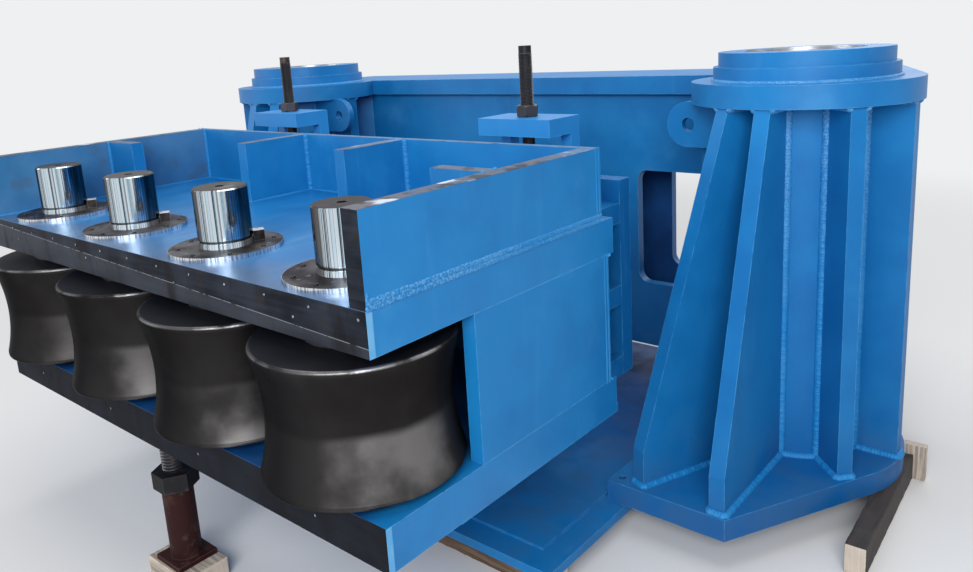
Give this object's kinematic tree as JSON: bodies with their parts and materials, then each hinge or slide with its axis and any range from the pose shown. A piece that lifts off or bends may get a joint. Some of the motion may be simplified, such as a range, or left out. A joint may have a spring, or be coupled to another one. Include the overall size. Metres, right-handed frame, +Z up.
{
  "type": "press bending machine",
  "caption": "Press bending machine with a row of upright concave rollers in a welded roll box, before a heavy frame with two round ribbed columns.",
  "frame": {"origin": "on the floor, under the middle of the machine's plan", "axes": "+X along the row of rollers, +Y from the rollers to the rear frame, +Z up"},
  "size_m": [3.403, 2.4209, 1.579],
  "materials": {
    "blue_paint": "semi-gloss machine enamel",
    "oiled_steel": "dark oiled, turned",
    "polished_steel": "ground and polished",
    "machined_steel": "machined, oily",
    "black_steel": "black oxide",
    "jack_paint": "worn red-brown primer",
    "timber": "rough sawn"
  },
  "bodies": {
    "frame": {"timber_packers": "timber", "foot_timbers": "timber", "foot_chocks": "timber", "jack_block": "timber", "sole_plate": "blue_paint", "foot_plate_right": "blue_paint", "foot_plate_left": "blue_paint", "column_barrel_right": "blue_paint", "column_barrel_left": "blue_paint", "column_ribs_right": "blue_paint", "column_ribs_left": "blue_paint", "column_ring_right": "blue_paint", "column_ring_left": "blue_paint", "top_flange": "blue_paint", "beam_front_web": "blue_paint", "beam_rear_web": "blue_paint", "beam_floor": "blue_paint", "beam_diaphragms": "blue_paint", "lifting_ears": "blue_paint", "bottom_slab": "blue_paint", "top_slab": "blue_paint", "side_plate_right": "blue_paint", "side_plate_left": "blue_paint", "end_plate_right": "blue_paint", "end_plate_left": "blue_paint", "throat_wall": "blue_paint", "back_wall": "blue_paint", "deck_ribs": "blue_paint", "corner_ribs": "blue_paint", "slide_plate": "blue_paint", "pedestals": "blue_paint", "carriage_plate": "blue_paint", "carriage_spacers": "blue_paint", "hanger_block_right": "blue_paint", "hanger_block_left": "blue_paint", "roller_shafts": "polished_steel", "shaft_collars": "machined_steel", "shaft_keepers": "machined_steel", "thrust_collars": "machined_steel", "hanger_studs": "black_steel", "hanger_nuts": "black_steel", "screw_jack": "jack_paint", "jack_screw": "black_steel"},
    "roller_1": {"roller_1": "oiled_steel"},
    "roller_2": {"roller_2": "oiled_steel"},
    "roller_3": {"roller_3": "oiled_steel"},
    "roller_4": {"roller_4": "oiled_steel"}
  },
  "joints": [
    {"name": "roller_1_spin", "type": "hinge", "parent": "frame", "child": "roller_1", "pos_m": [-0.7425, -0.9585, 0.786], "axis": [0, 0, 1], "continuous": true},
    {"name": "roller_2_spin", "type": "hinge", "parent": "frame", "child": "roller_2", "pos_m": [-0.2325, -0.9585, 0.786], "axis": [0, 0, 1], "continuous": true},
    {"name": "roller_3_spin", "type": "hinge", "parent": "frame", "child": "roller_3", "pos_m": [0.2775, -0.9585, 0.786], "axis": [0, 0, 1], "continuous": true},
    {"name": "roller_4_spin", "type": "hinge", "parent": "frame", "child": "roller_4", "pos_m": [0.7875, -0.9585, 0.786], "axis": [0, 0, 1], "continuous": true}
  ]
}
